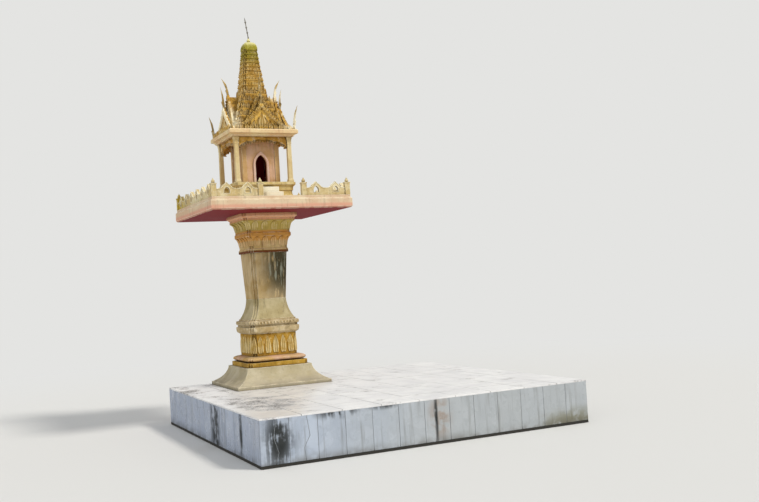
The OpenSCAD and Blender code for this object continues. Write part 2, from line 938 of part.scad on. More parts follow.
plinth_core();
plinth_side_tiles();
plinth_top_tiles();
pedestal_foot();
pedestal_gold_band();
pedestal_roll();
pedestal_drum();
pedestal_cornice();
pedestal_neck();
pedestal_shaft();
pedestal_capital();
terrace_slab();
balustrade_left();
balustrade_right();
balustrade_back();
balustrade_front_left();
balustrade_front_right();
balustrade_posts();
gate_posts();
entrance_steps();
house_base();
chamber_pilasters();
front_wall();
back_wall();
left_wall();
right_wall();
door_frame();
porch_columns();
front_fringe();
back_fringe();
left_fringe();
right_fringe();
eave_slab();
eave_corner_horns();
tiered_roof();
front_lower_gable();
back_lower_gable();
left_lower_gable();
right_lower_gable();
front_upper_gable();
back_upper_gable();
left_upper_gable();
right_upper_gable();
gable_horns();
tier_antefixes();
spire_skirt();
prang_shaft();
prang_antefixes();
prang_cap();
lotus_bud();
metal_finial();
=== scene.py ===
import math
import random

import bmesh
import bpy
from mathutils import Matrix, Vector


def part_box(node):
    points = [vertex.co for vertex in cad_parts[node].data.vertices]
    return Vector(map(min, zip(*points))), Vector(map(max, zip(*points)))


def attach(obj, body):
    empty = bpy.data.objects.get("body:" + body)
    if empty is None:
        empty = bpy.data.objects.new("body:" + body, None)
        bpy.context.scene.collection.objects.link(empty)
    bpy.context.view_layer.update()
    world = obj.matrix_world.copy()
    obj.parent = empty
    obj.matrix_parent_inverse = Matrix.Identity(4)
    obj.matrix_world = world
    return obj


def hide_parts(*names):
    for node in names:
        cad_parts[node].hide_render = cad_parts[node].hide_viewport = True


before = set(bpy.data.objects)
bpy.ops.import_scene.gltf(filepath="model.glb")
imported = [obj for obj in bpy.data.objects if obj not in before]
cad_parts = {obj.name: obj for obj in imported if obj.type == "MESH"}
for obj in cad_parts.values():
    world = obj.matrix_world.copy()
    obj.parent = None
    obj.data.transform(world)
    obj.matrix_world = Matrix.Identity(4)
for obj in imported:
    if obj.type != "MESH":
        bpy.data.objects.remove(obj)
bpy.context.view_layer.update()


# Plinth core. A square block of rendered masonry on level ground. Tiles hide it, so only its
# mortar shows, in the joints.
def paint(code):
    """A colour written as hex, in linear values."""
    shares = [int(code[i:i + 2], 16) / 255 for i in (1, 3, 5)]
    return tuple(s / 12.92 if s <= 0.04045 else ((s + 0.055) / 1.055) ** 2.4 for s in shares) + (1.0,)


class Nodes:
    """A node tree, and the one way to add a node to it: its type, what goes into it, and its
    settings, which are set first."""

    def __init__(self, tree):
        self.tree = tree

    def node(self, kind, inputs=None, **settings):
        node = self.tree.nodes.new(kind)
        for name, value in settings.items():
            setattr(node, name, value)
        return self.join(node, inputs or {})

    def join(self, node, inputs):
        """Gives a node's inputs a value each, or links them to what another node puts out."""
        for key, value in inputs.items():
            value = getattr(value, "socket", value)
            if isinstance(value, bpy.types.Node):
                value = value.outputs[0]
            if isinstance(value, bpy.types.NodeSocket):
                self.tree.links.new(value, node.inputs[key])
            else:
                node.inputs[key].default_value = value
        return node


class Amount:
    """A number that varies over a surface. Arithmetic on it adds Math nodes."""

    def __init__(self, nodes, socket):
        self.nodes = nodes
        self.socket = socket

    def maths(self, operation, first, second=0.0):
        node = self.nodes.node("ShaderNodeMath", {0: first, 1: second}, operation=operation)
        return Amount(self.nodes, node.outputs[0])

    def __add__(self, other):
        return self.maths("ADD", self, other)

    def __sub__(self, other):
        return self.maths("SUBTRACT", self, other)

    def __rsub__(self, other):
        return self.maths("SUBTRACT", other, self)

    def __mul__(self, other):
        return self.maths("MULTIPLY", self, other)

    def __abs__(self):
        return self.maths("ABSOLUTE", self)

    __radd__ = __add__
    __rmul__ = __mul__

    def between(self, low, high):
        """0 at low, 1 at high, and a soft step between them, whichever is the greater."""
        step = {"Value": self, "From Min": low, "From Max": high}
        node = self.nodes.node("ShaderNodeMapRange", step, interpolation_type="SMOOTHSTEP")
        return Amount(self.nodes, node.outputs["Result"])


class Finish(Nodes):
    """A material with one shader, whose patterns lie in the object's own metres. It starts as
    one colour, and others are laid over it."""

    def __init__(self, name, code, **shine):
        self.material = bpy.data.materials.new(name)
        self.material.use_nodes = True
        super().__init__(self.material.node_tree)
        self.tree.nodes.clear()
        self.colour = paint(code)
        self.shader = self.node("ShaderNodeBsdfPrincipled", {"Base Color": self.colour} | shine)
        self.surface = self.node("ShaderNodeOutputMaterial", {"Surface": self.shader})
        self.place = self.node("ShaderNodeTexCoord").outputs["Object"]
        self.x, self.y, self.z = self.apart(self.place)
        self.right, self.back, self.up = self.apart(self.node("ShaderNodeNewGeometry").outputs["True Normal"])

    def apart(self, vector):
        parts = self.node("ShaderNodeSeparateXYZ", {0: vector})
        return [Amount(self, part) for part in parts.outputs]

    def noise(self, scale, detail=4, stretch=(1, 1, 1), shift=0.0):
        moved = self.node("ShaderNodeMapping", {0: self.place, 1: (shift, shift, shift), 3: stretch})
        inputs = {"Vector": moved, "Scale": scale, "Detail": detail, "Roughness": 0.6}
        return Amount(self, self.node("ShaderNodeTexNoise", inputs).outputs[0])

    def over(self, share, code):
        """Lays a colour over what is there, by its share."""
        inputs = {0: share, 6: self.colour, 7: paint(code)}
        self.colour = self.node("ShaderNodeMix", inputs, data_type="RGBA").outputs[2]

    def attribute(self, name):
        node = self.node("ShaderNodeAttribute", attribute_name=name)
        return Amount(self, node.outputs["Fac"])

    def hollows(self, reach):
        """1 deep in a hollow and 0 in the open, by how much of the sky a point misses. The finishes lay
        painted shade by it.
        """
        node = self.node("ShaderNodeAmbientOcclusion", {"Distance": reach}, samples=6)
        return 1.0 - Amount(self, node.outputs["AO"])

    def patch(self, centre, size):
        """1 at a place on the object and 0 past this far from it."""
        inputs = {0: self.place, 1: [-c / s for c, s in zip(centre, size)], 3: [1 / s for s in size]}
        return self.distance(self.node("ShaderNodeMapping", inputs)).between(1.0, 0.2)

    def distance(self, vector):
        node = self.node("ShaderNodeVectorMath", {0: vector}, operation="LENGTH")
        return Amount(self, node.outputs["Value"])

    def done(self, relief, depth, **varied):
        """Joins the colour, a relief and what else varies to the shader."""
        bump = self.node("ShaderNodeBump", {"Strength": 0.6, "Distance": depth, "Height": relief})
        self.join(self.shader, {"Base Color": self.colour, "Normal": bump} | varied)
        return self.material


def mortar_finish(name, light, dark, foot=None):
    finish = Finish(name, light, Roughness=0.95)
    lumps = finish.noise(38, 6)
    finish.over(finish.noise(3).between(0.4, 0.62), dark)
    finish.over(lumps.between(0.35, 0.7) * 0.5, "#8f8b82")
    # A foot colour darkens the lowest few centimetres, as painted shadow along the ground.
    if foot:
        finish.over(finish.z.between(0.05, 0.02), foot)
    return finish.done(lumps, 0.004)


mortar = mortar_finish("mortar", "#5a564e", "#2e2c27")
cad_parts["plinth_core"].data.materials[0] = mortar


# Side tiles. Glazed tiles of 20 by 30 cm stand on end round the plinth, in mortar, with a
# mortar skirt under them. Some have cracked, and rain has left black and brown runs down them.
def fix(piece, slot, *nodes):
    """The piece rides on the one body and shows in place of these CAD nodes."""
    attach(piece, "root")
    if nodes:
        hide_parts(*nodes)


def set_out(name, data):
    """A new object in the scene, made of this mesh, lamp or camera."""
    thing = bpy.data.objects.new(name, data)
    bpy.context.scene.collection.objects.link(thing)
    return thing


def to_mesh(bm, name):
    mesh = bpy.data.meshes.new(name)
    bm.to_mesh(mesh)
    bm.free()
    return mesh


def keep_mesh(bm, name, finish, smooth=30):
    """Turns built geometry into a piece, smooth across edges that turn less than this, but with
    a crisp line where a rounded arris meets a flat face."""
    bm.normal_update()
    arris_marks = bm.faces.layers.float.get("arris")
    for face in bm.faces:
        face.smooth = True
    for edge in bm.edges:
        if len(edge.link_faces) == 2:
            rounded = [face[arris_marks] if arris_marks else 0.0 for face in edge.link_faces]
            limit = math.radians(60 if min(rounded) else smooth)
            edge.smooth = edge.calc_face_angle() < limit and max(rounded) == min(rounded)
    mesh = to_mesh(bm, name)
    mesh.materials.append(finish)
    return set_out(name, mesh)


def about(axis, degrees):
    return Matrix.Rotation(math.radians(degrees), 4, axis)


plinth_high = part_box("plinth_side_tiles")[1]
plinth_half = plinth_high.x
plinth_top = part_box("plinth_top_tiles")[1].z
tile_t = plinth_top - plinth_high.z
tiles_a_side = 13
tile_w = 2 * plinth_half / tiles_a_side
skirt = 0.020
joint = 0.0028
tile_arris = 0.0022
tile_uneven = 0.0009
tile_lean = 0.0022
tile_sunk = 0.0003
tile_crisp = 5


def cracked(outline, bends):
    """A tile in two parts, along a line of bends from its foot to its top, given as shares of
    its size."""
    (left, low), (right, high) = outline[0], outline[2]
    line = [(left + x * (right - left), low + y * (high - low)) for x, y in bends]
    return [[(left, low)] + line + [(left, high)], line[:1] + [(right, low), (right, high)] + line[:0:-1]]


def lay_tile(bm, tone, outline, to_place):
    """One tile: its outline less half a joint, made thick, with its upper edges rounded."""
    tile = bmesh.new()
    face = tile.faces.new([tile.verts.new((x, y, 0)) for x, y in outline])
    tile.normal_update()
    if face.normal.z < 0:
        face.normal_flip()
    ring = bmesh.ops.inset_individual(tile, faces=[face], thickness=joint / 2, use_even_offset=True)
    bmesh.ops.delete(tile, geom=ring["faces"], context="FACES")
    raised = bmesh.ops.extrude_face_region(tile, geom=[face], use_keep_orig=True)["geom"]
    high = [v for v in raised if isinstance(v, bmesh.types.BMVert)]
    bmesh.ops.translate(tile, verts=high, vec=(0, 0, tile_t - draw.uniform(0.0, tile_uneven)))
    bmesh.ops.recalc_face_normals(tile, faces=tile.faces)
    rim = [e for e in tile.edges if all(v in high for v in e.verts)]
    bmesh.ops.bevel(tile, geom=rim, offset=tile_arris, segments=2, profile=0.6, affect="EDGES")
    middle = sum((v.co for v in tile.verts), Vector()) / len(tile.verts)
    lean = Matrix.Rotation(draw.uniform(-tile_lean, tile_lean), 4, "X")
    for vert in tile.verts:
        vert.co = to_place @ (middle + lean @ (vert.co - middle) - Vector((0, 0, tile_sunk)))
    shade = draw.random()
    made = {v: bm.verts.new(v.co) for v in tile.verts}
    for face in tile.faces:
        bm.faces.new([made[v] for v in face.verts])[tone] = shade
    tile.free()


draw = random.Random(11)
cracks = {
    ("front", 1): [(0.55, 0), (0.5, 0.3), (0.72, 0.55), (0.62, 1)],
    ("front", 0): [(0.5, 0), (0.62, 0.25), (0.46, 0.6), (0.58, 1)],
    ("front", 6): [(0.4, 0), (0.44, 0.4), (0.36, 0.7), (0.4, 1)],
    ("left", 8): [(0.45, 0), (0.3, 0.4), (0.55, 0.75), (0.5, 1)],
}
bm = bmesh.new()
tone = bm.faces.layers.float.new("tone")
for side, turn in (("front", 0), ("right", 90), ("back", 180), ("left", 270)):
    # A face's own x runs along it to the right and its y upwards, and it looks out of the plinth
    to_place = about("Z", turn) @ Matrix.Translation((0, -plinth_half + tile_t, 0)) @ about("X", 90)
    half = plinth_half - (tile_t if side in ("left", "right") else 0)
    for k in range(tiles_a_side):
        left = max(-half, -plinth_half + k * tile_w)
        right = min(half, -plinth_half + (k + 1) * tile_w)
        high = plinth_high.z + joint / 2
        outline = [(left, skirt), (left, high), (right, high), (right, skirt)]
        bends = cracks.get((side, k))
        for part in (cracked(outline, bends) if bends else [outline]):
            lay_tile(bm, tone, part, to_place)


def side_glaze():
    """Glazed tile, clouded and veined, a different cut of the pattern on each tile."""
    finish = Finish("side_glaze", "#bcc6d5")
    tone = finish.attribute("tone")
    shifted = finish.node("ShaderNodeCombineXYZ", {0: tone * 7, 1: tone * 13, 2: tone * 5})
    spot = finish.node("ShaderNodeVectorMath", {0: finish.place, 1: shifted}, operation="ADD")
    inputs = {"Vector": spot, "Scale": 4.5, "Detail": 6.0, "Distortion": 0.8}
    cloud = Amount(finish, finish.node("ShaderNodeTexNoise", inputs).outputs[0])
    finish.over(cloud.between(0.3, 0.7), "#a9b4c5")
    finish.over(abs(cloud - 0.5).between(0.045, 0.0) * 0.2, "#8b93a1")
    finish.over(tone * 0.36, "#a1a8b1")
    finish.over(finish.x.between(-1.25, 0.1) * 0.62, "#adaea8")
    runs = finish.noise(34, stretch=(1, 1, 0.06))
    speck = finish.noise(9, 6, shift=3.0)
    upright = abs(finish.up).between(0.6, 0.3)
    front = (finish.back * -1).between(0.6, 0.9)
    left = (finish.right * -1).between(0.6, 0.9)
    # The left face is painted darker and bluer, as painted shade.
    finish.over(left * 0.4, "#929cb2")
    mould = sum(finish.patch(spot, size) * side for spot, size, side in (
        ((-1.21, -1.34, 0.18), (0.17, 0.2, 0.34), front), ((-0.78, -1.34, 0.33), (0.24, 0.2, 0.075), front),
        ((-0.42, -1.34, 0.335), (0.20, 0.2, 0.05), front), ((-0.01, -1.34, 0.2), (0.02, 0.2, 0.3), front),
        ((-1.34, -0.22, 0.17), (0.2, 0.19, 0.6), left), ((-1.34, -0.9, 0.2), (0.2, 0.06, 0.3), left)))
    mould = mould * (runs + speck).between(0.80, 1.04)
    dirt = runs.between(0.52, 0.7) * upright * 0.4
    finish.over(dirt, "#6f6e69")
    rust = finish.patch((0.02, -1.34, 0.2), (0.13, 0.2, 0.22)) * front * speck.between(0.4, 0.6)
    finish.over(rust * 0.55, "#8e6a44")
    olive = finish.patch((1.2, -1.34, 0.02), (0.5, 0.2, 0.16)) * speck.between(0.35, 0.55)
    finish.over(olive * 0.8, "#6e6a4a")
    foot = finish.z.between(0.09, 0.0) * upright * speck.between(0.3, 0.6)
    finish.over(foot * 0.7, "#5d584d")
    finish.over(mould, "#282b2b")
    # Painted shade in the joints between the tiles.
    finish.over(finish.hollows(0.03).between(0.12, 0.5) * 0.5, "#5f6264")
    dull = speck.between(0.4, 0.6) * 0.25 + 0.24 + (dirt + mould + foot) * 0.4
    return finish.done(cloud, 0.0006, Roughness=dull)


fix(keep_mesh(bm, "side_tiles", side_glaze(), tile_crisp), "glazed_tile", "plinth_side_tiles")


# Mortar bed of the side tiles, a thin coat on the core with a proud skirt at the ground. The tiles stand in
# it, and it shows in their joints and cracks. Its skirt is painted near black at the ground, as painted
# shadow.
def oblong(left, front, right, back):
    return [(left, front), (right, front), (right, back), (left, back)]


def square(half):
    return -half, -half, half, half


def mortar_bed(name, finish, bends):
    """A closed band of mortar, from the oblong and the level of each bend of its section."""
    bm = bmesh.new()
    loops = [[bm.verts.new((x, y, z)) for x, y in oblong(*plan)] for plan, z in bends]
    for low, high in zip(loops, loops[1:] + loops[:1]):
        for k in range(4):
            bm.faces.new((low[k], low[(k + 1) % 4], high[(k + 1) % 4], high[k]))
    bmesh.ops.recalc_face_normals(bm, faces=bm.faces)
    fix(keep_mesh(bm, name, finish), "masonry")


mortar_back = 0.0025
bed = plinth_half - mortar_back
inner = plinth_half - tile_t
mortar_bed("side_tile_bed", mortar_finish("joint_mortar", "#8d9196", "#6d7072", "#2e2c27"), [
    (square(half), z) for half, z in ((inner, 0), (bed + 0.0015, 0), (bed + 0.001, skirt),
        (bed, skirt + 0.001), (bed, plinth_high.z), (inner, plinth_high.z))])


# Top tiles. Larger white tiles of 30 cm, laid level from the front left corner and cut round the pedestal's
# foot. Dust and black algae lie on them near the foot, and painted shade darkens them along the joints and
# against the foot.
def less_foot(left, front, right, back, hole):
    """The outline of a tile, with what the foot's hole takes from it left out."""
    a, b = max(left, hole[0]), min(right, hole[2])
    c, d = max(front, hole[1]), min(back, hole[3])
    if a >= b or c >= d:
        return oblong(left, front, right, back)
    wide, deep = b - a > right - left - 1e-6, d - c > back - front - 1e-6
    if wide and deep:
        return []
    if wide:
        return oblong(left, front, right, c) if c > front else oblong(left, d, right, back)
    if deep:
        return oblong(left, front, a, back) if a > left else oblong(b, front, right, back)
    x, y = (a if a > left else b), (c if c > front else d)
    outline = []
    for k, (px, py) in enumerate(oblong(left, front, right, back)):
        if a <= px <= b and c <= py <= d:
            bends = [(px, y), (x, y), (x, py)]
            outline += bends if k in (0, 2) else bends[::-1]
        else:
            outline.append((px, py))
    return outline


top_tile = 0.300
gap = 0.003
foot_low, foot_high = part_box("pedestal_foot")
hole = (foot_low.x - gap, foot_low.y - gap, foot_high.x + gap, foot_high.y + gap)
count = math.ceil(2 * plinth_half / top_tile)
cuts = [min(plinth_half, -plinth_half + k * top_tile) for k in range(count + 1)]
to_place = Matrix.Translation((0, 0, plinth_high.z))
bm = bmesh.new()
tone = bm.faces.layers.float.new("tone")
for left, right in zip(cuts, cuts[1:]):
    for front, back in zip(cuts, cuts[1:]):
        outline = less_foot(left, front, right, back, hole)
        if outline:
            lay_tile(bm, tone, outline, to_place)


def top_glaze():
    finish = Finish("top_glaze", "#efedea")
    cloud = finish.noise(5, 6)
    finish.over(cloud.between(0.35, 0.65), "#dedcdb")
    finish.over(finish.attribute("tone") * 0.2, "#c6c6c8")
    spots = finish.noise(7, 8, shift=1.7)
    fine = finish.noise(70, 5, shift=5.0)
    around = finish.patch((-0.52, 0.86, 0.33), (0.95, 0.95, 0.6))
    worst = finish.patch((-1.05, -0.5, 0.33), (0.34, 0.75, 0.6))
    worst = worst + finish.patch((-1.3, 0.8, 0.33), (0.2, 1.0, 0.6)) * 0.7
    dirt = (spots * 0.8 + fine * 0.2 + around * 0.11 + worst * 0.2).between(0.55, 0.74)
    finish.over(dirt * fine.between(0.3, 0.6), "#77736f")
    # Painted shade in the joints and against the foot.
    finish.over(finish.hollows(0.03).between(0.1, 0.45) * 0.8, "#55524c")
    return finish.done(cloud, 0.0006, Roughness=dirt * 0.45 + 0.28)


fix(keep_mesh(bm, "top_tiles", top_glaze(), tile_crisp), "glazed_tile", "plinth_top_tiles")

# Mortar bed of the top tiles, a little short of their outer edges, with the same hole round
# the foot.
edge = square(plinth_half - 0.004)
low, high = plinth_high.z, plinth_top - mortar_back
mortar_bed("top_tile_bed", mortar, [(edge, low), (edge, high), (hole, high), (hole, low)])


# Pedestal foot. One broad flared casting in the pale grey cream paint, bedded on the core and
# dusty towards the ground.
def merged(node):
    """A CAD node's loose triangles, joined."""
    bm = bmesh.new()
    bm.from_mesh(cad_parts[node].data)
    bmesh.ops.remove_doubles(bm, verts=bm.verts, dist=1e-5)
    return bm


def casting(node, slot, finish, arris=0.0015, shape=None):
    """A CAD node as it leaves the mould: merged, flat faces whole, sharp edges rounded off. The
    rounded strips are marked, so that the paint can be rubbed there."""
    bm = merged(node)
    if shape:
        shape(bm)
    bmesh.ops.dissolve_limit(bm, angle_limit=math.radians(0.7), verts=bm.verts, edges=bm.edges)
    arris_marks = bm.faces.layers.float.new("arris")
    smooth = 32
    sharp = [e for e in bm.edges if e.is_manifold and e.calc_face_angle() > math.radians(smooth)]
    if arris:
        strips = bmesh.ops.bevel(bm, geom=sharp, offset=arris, segments=2, profile=0.6,
            affect="EDGES", clamp_overlap=True)
        for face in strips["faces"]:
            face[arris_marks] = 1.0
    fix(keep_mesh(bm, f"{node}_casting", finish, smooth), slot, node)


def old_paint(name, main, other, deep, dust="#8c8578", pale_tone="#efe4c8", reach=0.05, hollow=0.8,
        streaks=0.4, rough=0.78, mottle=0.0, extra=None, coat=None):
    """Old paint on cast concrete: two tones that wander, painted shade in the hollows, under ledges and in
    the grooves of reliefs, rain streaks on upright faces, dust on level ones, and pale rubbed arrises. The
    crests of reliefs are pale with rubbed paint and a painted highlight. What extra adds lies under the dirt
    and painted shade, and what coat adds lies on them."""
    finish = Finish(name, main, **{"Specular IOR Level": 0.2})
    wander = finish.noise(5, 5)
    grain = finish.noise(90, 5)
    finish.over(wander.between(0.38, 0.62), other)
    if mottle:
        blots = finish.noise(26, 5, shift=4.0)
        finish.over(blots.between(0.53, 0.68) * mottle, pale_tone)
        finish.over(blots.between(0.46, 0.34) * mottle, deep)
    if extra:
        extra(finish)
    # Rubbed paint on arrises. On the crests of reliefs the pale tone is also a painted highlight.
    arris_marks = finish.attribute("arris") * finish.noise(16).between(0.40, 0.58)
    finish.over(arris_marks * 0.65, pale_tone)
    # Painted shade in the grooves of reliefs.
    finish.over(finish.attribute("groove") * 0.7, deep)
    finish.over(grain.between(0.55, 0.75) * 0.25, deep)
    runs = finish.noise(42, stretch=(1, 1, 0.07)).between(0.54, 0.74)
    finish.over(runs * abs(finish.up).between(0.7, 0.35) * streaks, deep)
    finish.over(finish.up.between(0.75, 0.95) * wander.between(0.4, 0.6) * 0.5, dust)
    # Painted shade, deepest in the hollows and under ledges.
    finish.over(finish.hollows(reach).between(0.15, 0.75) * hollow, deep)
    if coat:
        coat(finish)
    relief = grain * 0.5 + finish.noise(22, 3) * 0.8
    return finish.done(relief, 0.0022, Roughness=grain * 0.2 + (rough - 0.1))


def dusty(finish):
    low = finish.z.between(0.50, 0.34)
    finish.over(low * finish.noise(12, 5).between(0.35, 0.6) * 0.6, "#a79c86")


casting("pedestal_foot", "cream_paint", old_paint("foot_paint", "#c4b99c", "#b3a684", "#6e6550",
    extra=dusty, streaks=0.3), 0.004)

# Gold band. A flat slab of cast concrete with stepped corners, bedded in mortar on the foot and
# painted in an old ochre.
casting("pedestal_gold_band", "gold_paint", old_paint("band_paint", "#bf9638", "#a9822e", "#553d10",
    pale_tone="#dcc084", reach=0.04, mottle=0.4), 0.002)

# Roll. A half-round moulding of cast concrete, bedded in mortar on the band. Its paint is
# rubbed to pink and cream.
casting("pedestal_roll", "pink_cream_paint", old_paint("roll_paint", "#c9a284", "#c79e58", "#6e4c2c",
    pale_tone="#ecd6b8"))


# Drum. The carved block of the pedestal, in ochre, with a row of pointed leaves standing all
# round it. The leaves are cast apart in cream and bedded on its faces.
class Tree(Nodes):
    """A geometry tree with named inputs, which ends in real faces with one finish on them."""

    def __init__(self, name, **inputs):
        super().__init__(bpy.data.node_groups.new(name, "GeometryNodeTree"))
        ends = self.tree.interface
        self.keys = {}
        for label, kind in ({"Geometry": "Geometry"} | inputs | {"Finish": "Material"}).items():
            socket = ends.new_socket(label, in_out="INPUT", socket_type="NodeSocket" + kind)
            self.keys[label] = socket.identifier
        ends.new_socket("Geometry", in_out="OUTPUT", socket_type="NodeSocketGeometry")
        self.given = self.node("NodeGroupInput").outputs

    def close(self, geometry):
        real = self.node("GeometryNodeRealizeInstances", {0: geometry})
        inputs = {"Geometry": real, "Material": self.given["Finish"]}
        self.node("NodeGroupOutput", {0: self.node("GeometryNodeSetMaterial", inputs)})

    def grow(self, name, start, smooth=35, **values):
        """Runs the tree on a starting mesh, and keeps its result as a plain piece."""
        piece = set_out(name, start)
        modifier = piece.modifiers.new("tree", "NODES")
        modifier.node_group = self.tree
        for label, value in values.items():
            modifier[self.keys[label]] = value
        ready = piece.evaluated_get(bpy.context.evaluated_depsgraph_get())
        mesh = bpy.data.meshes.new_from_object(ready)
        piece.modifiers.clear()
        piece.data = mesh
        mesh.shade_smooth()
        mesh.set_sharp_from_angle(angle=math.radians(smooth))
        return piece

    def stand(self, points, rotation, size):
        """An ornament on each point, turned and sized, with a small turn and change of its own."""
        inputs = {0: (-1, -1, -1), 1: (1, 1, 1), "Seed": self.given["Seed"]}
        shake = self.node("FunctionNodeRandomValue", inputs, data_type="FLOAT_VECTOR")
        inputs = {0: shake, "Scale": self.given["Unevenness"]}
        jog = self.node("ShaderNodeVectorMath", inputs, operation="SCALE")
        inputs = {0: rotation, 1: self.node("FunctionNodeEulerToRotation", {0: jog})}
        turned = self.node("FunctionNodeRotateRotation", inputs, rotation_space="LOCAL")
        grown = self.node("ShaderNodeVectorMath", {0: jog, 1: size, 2: size}, operation="MULTIPLY_ADD")
        ornament = self.node("GeometryNodeObjectInfo", {"Object": self.given["Ornament"]})
        inputs = {"Points": points, "Instance": ornament.outputs["Geometry"]}
        inputs |= {"Rotation": turned, "Scale": grown}
        return self.node("GeometryNodeInstanceOnPoints", inputs)


def row_tree(name, pivot):
    """Ornaments in a row along a path, each with its own X along it, turned about one axis."""
    tree = Tree(name, Ornament="Object", Size="Vector", Pitch="Float", Unevenness="Float", Seed="Int")
    path = tree.node("GeometryNodeMeshToCurve", {0: tree.given["Geometry"]})
    inputs = {"Curve": path, "Length": tree.given["Pitch"]}
    dots = tree.node("GeometryNodeCurveToPoints", inputs, mode="LENGTH")
    inputs = {"Vector": dots.outputs["Tangent"]}
    along = tree.node("FunctionNodeAlignRotationToVector", inputs, axis="X", pivot_axis=pivot)
    tree.close(tree.stand(dots, along, tree.given["Size"]))
    return tree


def relief(name, rows):
    """An ornament as it leaves its mould, from rows of points up its front. A row holds how far out its back
    lies, then (x, out, z) from left to right. The last row may be one point, the tip. Crests are marked for
    rubbed paint and a painted highlight, and hollows for painted shade."""
    bm = bmesh.new()
    arris_marks = bm.verts.layers.float.new("arris")
    groove_shade = bm.verts.layers.float.new("groove")
    lines, backs = [], []
    for behind, points in rows:
        most = max(max(out for x, out, z in points) - behind, 1e-6)
        line = []
        for x, out, z in points:
            vert = bm.verts.new((x, -out, z))
            share = (out - behind) / most
            # Crests get rubbed paint and a painted highlight, and grooves get painted shade.
            vert[arris_marks] = max(0.0, 5 * share - 4)
            vert[groove_shade] = max(0.0, min(1.0, 2.2 - 4 * share)) if len(points) > 1 else 0.0
            line.append(vert)
        ends = [line[0], line[-1]][:len(line)]
        backs.append([bm.verts.new((v.co.x, -behind, v.co.z)) for v in ends])
        lines.append(line)
    for (low, rear), (high, rear_high) in zip(zip(lines, backs), zip(lines[1:], backs[1:])):
        for k in range(len(low) - 1):
            bm.faces.new(low[k:k + 2] + (high[k:k + 2][::-1] if len(high) > 1 else high))
        bm.faces.new([low[0], high[0], rear_high[0], rear[0]])
        bm.faces.new([low[-1], rear[-1], rear_high[-1], high[-1]])
        bm.faces.new([rear[0]] + rear_high + [rear[-1]])
    bm.faces.new(lines[0][::-1] + backs[0])
    if len(lines[-1]) > 1:
        bm.faces.new(lines[-1] + backs[-1][::-1])
    bmesh.ops.recalc_face_normals(bm, faces=bm.faces)
    return bpy.data.objects.new(name, to_mesh(bm, name))


across = (-1, -0.74, -0.32, 0, 0.32, 0.74, 1)
carving = (0.55, 1, 0.38, 0.96, 0.38, 1, 0.55)


def leaf_rows(outline, out=1.0, bend=0.0):
    """Rows of a carved leaf: a rim, two hollows and a rib, lower towards the tip, which leans."""
    rows = []
    for z, half in outline:
        thin = 1 - 0.4 * (z / outline[-1][0]) ** 2
        lean = bend * (z / outline[-1][0]) ** 2
        points = [(a * half + lean, out * d * thin, z) for a, d in zip(across, carving)]
        rows.append((0, points if half else [(lean, out * 0.5, z)]))
    return rows


def measure(node):
    """The lowest and highest corners of a CAD node's box, its middle, and half its width."""
    low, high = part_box(node)
    return low, high, (low + high) / 2, (high.x - low.x) / 2


def path_mesh(points, every=1):
    """Points joined into one line, or every two of them into a line of their own."""
    mesh = bpy.data.meshes.new("path")
    mesh.from_pydata(points, [(k, k + 1) for k in range(0, len(points) - 1, every)], [])
    return mesh


corner_step = 0.017


def row_round(name, slot, middle, half, z, pitch, size, clear=2 * corner_step, **ornament):
    """A row along each side of a square moulding, left to right from outside, clear of its
    corners. The pitch is a little tighter than asked, so that the last one isn't lost."""
    end = half - clear - pitch / 2
    points = [about("Z", 90 * k) @ Vector((x, -half, 0)) + Vector((middle.x, middle.y, z))
        for k in range(4) for x in (-end, end)]
    row = upright_row.grow(name, path_mesh(points, 2), Size=size, Pitch=pitch * 0.98, **ornament)
    fix(row, slot)


def marks(places):
    """Marked points, from the place, turn and size of each."""
    mesh = bpy.data.meshes.new("marks")
    spots, turns, sizes = zip(*places)
    mesh.from_pydata(spots, [], [])
    mesh.attributes.new("turn", "FLOAT", "POINT").data.foreach_set("value", turns)
    layer = mesh.attributes.new("size", "FLOAT_VECTOR", "POINT")
    layer.data.foreach_set("vector", [length for size in sizes for length in size])
    return mesh


def at_corners(name, slot, middle, half, z, size, **ornament):
    """Ornaments across the four stepped corners of a square moulding."""
    reach = (half - corner_step) * math.sqrt(2)
    places = [(about("Z", turn) @ Vector((0, -reach, 0)) + Vector((middle.x, middle.y, z)),
        math.radians(turn), size) for turn in (45, 135, 225, 315)]
    fix(at_marks.grow(name, marks(places), **ornament), slot)


upright_row = row_tree("ornaments_round_a_moulding", "Z")
# Ornaments at marked points. Each mark gives its turn about the upright axis and its size
at_marks = Tree("ornaments_at_marks", Ornament="Object", Unevenness="Float", Seed="Int")
dots = at_marks.node("GeometryNodeMeshToPoints", {0: at_marks.given["Geometry"]})
turn, size = (at_marks.node("GeometryNodeInputNamedAttribute", {"Name": label}, data_type=kind)
    for label, kind in (("turn", "FLOAT"), ("size", "FLOAT_VECTOR")))
euler = at_marks.node("ShaderNodeCombineXYZ", {"Z": turn})
at_marks.close(at_marks.stand(dots, at_marks.node("FunctionNodeEulerToRotation", {0: euler}), size))
low, high, middle, half = measure("pedestal_drum")
casting("pedestal_drum", "gold_paint", old_paint("drum_paint", "#b98e34", "#a07626", "#4e360c",
    pale_tone="#dcc084", reach=0.06, mottle=0.5), 0.002)
drum_leaf = relief("drum_leaf", leaf_rows([(0, 0.020), (0.02, 0.026), (0.05, 0.027), (0.085, 0.025),
    (0.11, 0.019), (0.132, 0.010), (0.15, 0)], 0.009))
drum_leaf_paint = old_paint("drum_leaf_paint", "#d8be7e", "#c6a252", "#6e5120", pale_tone="#f2e2b4", reach=0.03)
settings = {"Ornament": drum_leaf, "Unevenness": 0.015, "Seed": 3, "Finish": drum_leaf_paint}
row_round("drum_leaves", "cream_paint", middle, half - 0.0005, low.z + 0.026, 0.064, (1, 1, 1), **settings)
at_corners("drum_corner_leaves", "cream_paint", middle, half, low.z + 0.026, (0.8, 1, 1), **settings)

